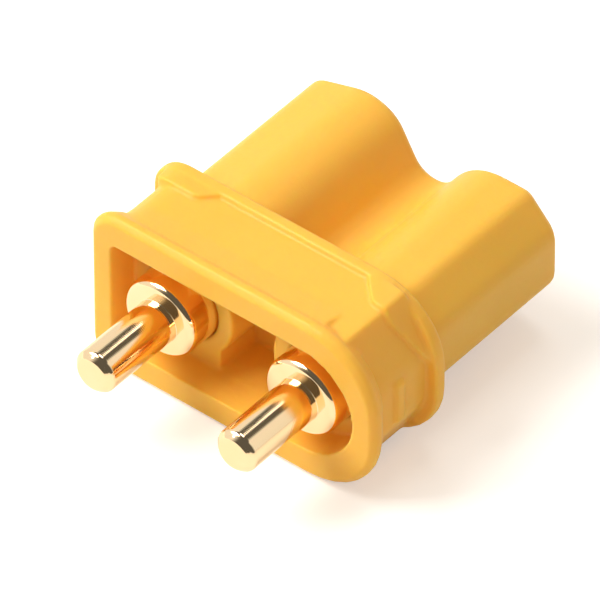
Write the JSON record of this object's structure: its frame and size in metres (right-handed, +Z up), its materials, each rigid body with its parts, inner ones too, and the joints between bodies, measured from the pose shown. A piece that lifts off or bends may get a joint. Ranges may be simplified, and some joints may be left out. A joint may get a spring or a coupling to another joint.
{
  "type": "battery power connector",
  "caption": "Board-mount battery power connector, socket side, with a keyed moulded housing, turned socket contacts and solid board pins.",
  "frame": {"origin": "centre of the bounding box in X and Y, at its lowest face", "axes": "+Y from the board pins to the mating end, +X from the square plus end to the rounded minus end, +Z up with the part lying on a broad face"},
  "size_m": [0.0102, 0.012, 0.0055],
  "materials": {
    "housing": "satin moulded nylon, yellow-orange",
    "contact": "polished gold plating on turned brass"
  },
  "bodies": {
    "root": {"housing": "housing", "positive_contact": "contact", "negative_contact": "contact"}
  },
  "joints": []
}
